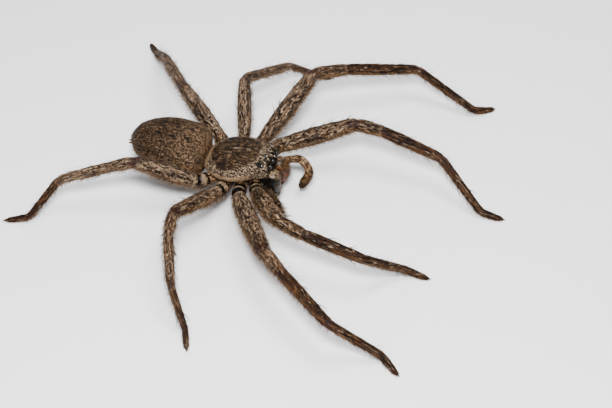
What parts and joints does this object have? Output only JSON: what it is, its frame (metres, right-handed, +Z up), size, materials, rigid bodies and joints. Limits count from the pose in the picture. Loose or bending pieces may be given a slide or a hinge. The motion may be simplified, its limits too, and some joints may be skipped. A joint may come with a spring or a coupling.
{
  "type": "huntsman spider",
  "caption": "Life-size still model of a huntsman spider standing flat on the floor, legs spread wide and turned forward, on a flattened body with a broad carapace and oval abdomen.",
  "frame": {"origin": "on the floor under the middle of the box that the spread legs fill", "axes": "+Z up, -Y the way the head faces, +X towards the spider's left"},
  "size_m": [0.0856, 0.0978, 0.0147],
  "materials": {
    "carapace": "olive-brown cuticle with short pale hair along its margins",
    "abdomen": "soft skin under short flat tan and brown hair",
    "legs": "mottled brown cuticle under short hair, with long fine standing hairs",
    "underside": "dark brown hairy cuticle",
    "chelicerae": "satin brown cuticle with bristles",
    "fangs": "polished near-black chitin",
    "eyes": "polished black lenses"
  },
  "bodies": {
    "root": {"abdomen": "abdomen", "carapace": "carapace", "chelicera_l": "chelicerae", "chelicera_r": "chelicerae", "eye_front_middle_l": "eyes", "eye_front_middle_r": "eyes", "eye_front_side_l": "eyes", "eye_front_side_r": "eyes", "eye_rear_middle_l": "eyes", "eye_rear_middle_r": "eyes", "eye_rear_side_l": "eyes", "eye_rear_side_r": "eyes", "fang_l": "fangs", "fang_r": "fangs", "leg_l1_coxa": "legs", "leg_l1_femur": "legs", "leg_l1_foot": "legs", "leg_l1_patella": "legs", "leg_l1_tibia": "legs", "leg_l2_coxa": "legs", "leg_l2_femur": "legs", "leg_l2_foot": "legs", "leg_l2_patella": "legs", "leg_l2_tibia": "legs", "leg_l3_coxa": "legs", "leg_l3_femur": "legs", "leg_l3_foot": "legs", "leg_l3_patella": "legs", "leg_l3_tibia": "legs", "leg_l4_coxa": "legs", "leg_l4_femur": "legs", "leg_l4_foot": "legs", "leg_l4_patella": "legs", "leg_l4_tibia": "legs", "leg_r1_coxa": "legs", "leg_r1_femur": "legs", "leg_r1_foot": "legs", "leg_r1_patella": "legs", "leg_r1_tibia": "legs", "leg_r2_coxa": "legs", "leg_r2_femur": "legs", "leg_r2_foot": "legs", "leg_r2_patella": "legs", "leg_r2_tibia": "legs", "leg_r3_coxa": "legs", "leg_r3_femur": "legs", "leg_r3_foot": "legs", "leg_r3_patella": "legs", "leg_r3_tibia": "legs", "leg_r4_coxa": "legs", "leg_r4_femur": "legs", "leg_r4_foot": "legs", "leg_r4_patella": "legs", "leg_r4_tibia": "legs", "pedicel": "underside", "pedipalp_l": "legs", "pedipalp_r": "legs", "spinnerets": "abdomen", "sternum": "underside"}
  },
  "joints": []
}
